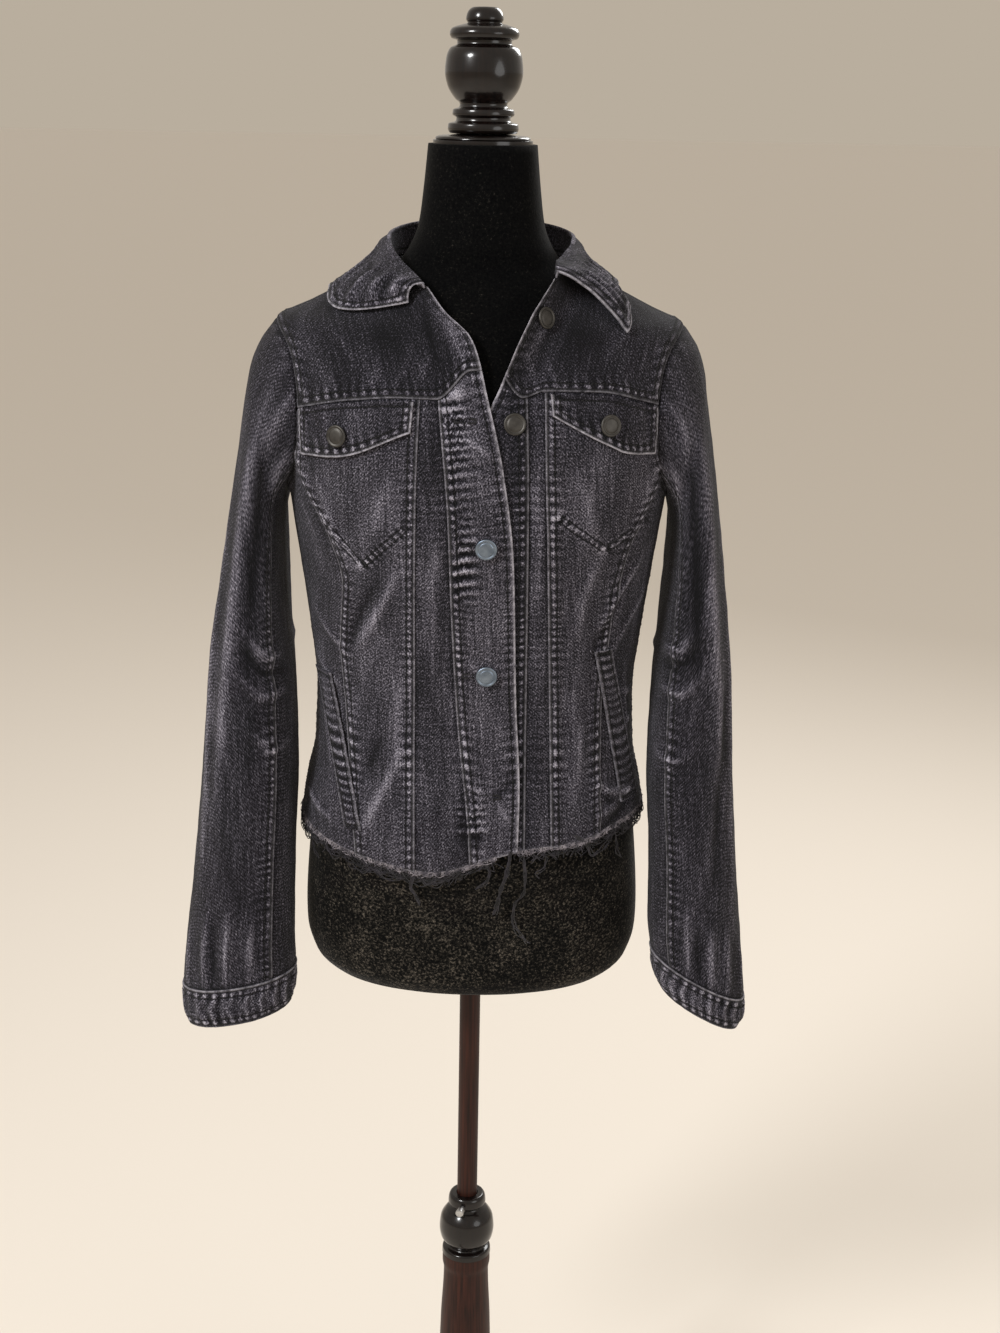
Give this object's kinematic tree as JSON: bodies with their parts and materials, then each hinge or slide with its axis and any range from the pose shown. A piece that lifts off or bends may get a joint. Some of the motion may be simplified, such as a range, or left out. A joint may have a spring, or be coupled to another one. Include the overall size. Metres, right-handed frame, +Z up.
{
  "type": "denim jacket on dress form",
  "caption": "Cropped denim jacket with a raw frayed hem, flap pockets and turned-back collar, on a velvet dress form with a turned wooden tripod stand.",
  "frame": {"origin": "on the floor under the middle of the pole, at the centre of the tripod", "axes": "+Z up, the jacket's front faces -Y, +X is the wearer's left"},
  "size_m": [0.5648, 0.5014, 1.6156],
  "materials": {
    "black_denim": "washed black twill, matt",
    "frayed_thread": "loose cotton threads",
    "dull_metal": "dull gunmetal",
    "black_velvet": "black pile velvet",
    "stained_wood": "dark cherry stain, satin",
    "lacquered_wood": "near-black gloss lacquer",
    "foot_rubber": "matt"
  },
  "bodies": {
    "stand": {"stand_collar": "lacquered_wood", "stand_column": "stained_wood", "stand_leg_1": "stained_wood", "stand_leg_2": "stained_wood", "stand_leg_3": "stained_wood", "foot_pad_1": "foot_rubber", "foot_pad_2": "foot_rubber", "foot_pad_3": "foot_rubber", "set_screw": "dull_metal"},
    "form": {"pole": "stained_wood", "form_torso": "black_velvet", "neck_plate": "lacquered_wood", "finial": "lacquered_wood", "back_yoke": "black_denim", "back_centre": "black_denim", "back_side_left": "black_denim", "back_side_right": "black_denim", "front_yoke_left": "black_denim", "front_yoke_right": "black_denim", "front_centre_left": "black_denim", "front_centre_right": "black_denim", "front_pocket_panel_left": "black_denim", "front_pocket_panel_right": "black_denim", "front_side_left": "black_denim", "front_side_right": "black_denim", "placket_left": "black_denim", "placket_right": "black_denim", "pocket_flap_left": "black_denim", "pocket_flap_right": "black_denim", "pocket_welt_left": "black_denim", "pocket_welt_right": "black_denim", "sleeve_top_left": "black_denim", "sleeve_top_right": "black_denim", "sleeve_under_left": "black_denim", "sleeve_under_right": "black_denim", "cuff_left": "black_denim", "cuff_right": "black_denim", "collar": "black_denim", "hem_fringe": "frayed_thread", "front_button_1": "dull_metal", "front_button_2": "dull_metal", "front_button_3": "dull_metal", "front_button_4": "dull_metal", "flap_button_left": "dull_metal", "flap_button_right": "dull_metal", "cuff_button_left": "dull_metal", "cuff_button_right": "dull_metal"}
  },
  "joints": [
    {"name": "height_slide", "type": "slide", "parent": "stand", "child": "form", "axis": [0, 0, 1], "range_m": [-0.05, 0.18]}
  ]
}
